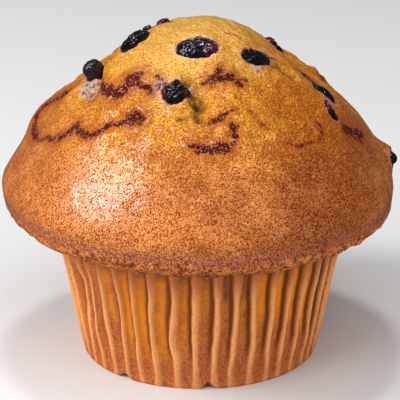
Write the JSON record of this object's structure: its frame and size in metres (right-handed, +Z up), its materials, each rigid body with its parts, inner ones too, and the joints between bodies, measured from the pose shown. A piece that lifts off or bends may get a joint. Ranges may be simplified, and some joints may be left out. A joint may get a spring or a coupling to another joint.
{
  "type": "muffin",
  "caption": "Large domed berry muffin with a split golden-brown crust overhanging a pleated brown paper liner, with small dark berries set in the top.",
  "frame": {"origin": "centre of the paper liner's flat base, on the surface that it stands on", "axes": "+Z up through the peak; -Y is the front, the side that the picture shows; +X is to the right seen from the front"},
  "size_m": [0.093, 0.0921, 0.0805],
  "materials": {
    "baked_crumb": "satin",
    "liner_paper": "matte",
    "berry_skin": "gloss"
  },
  "bodies": {
    "root": {"cake": "baked_crumb", "paper_liner": "liner_paper", "berry_middle": "berry_skin", "berry_right": "berry_skin", "berry_front": "berry_skin", "berry_proud": "berry_skin", "berry_upper_left": "berry_skin", "berry_small_left": "berry_skin", "berry_crest": "berry_skin", "berry_right_crest": "berry_skin", "berry_right_upper": "berry_skin", "berry_right_lower": "berry_skin", "berry_rim": "berry_skin", "berry_back_peak": "berry_skin", "berry_back_left": "berry_skin", "berry_back_middle": "berry_skin", "berry_back_right": "berry_skin"}
  },
  "joints": []
}
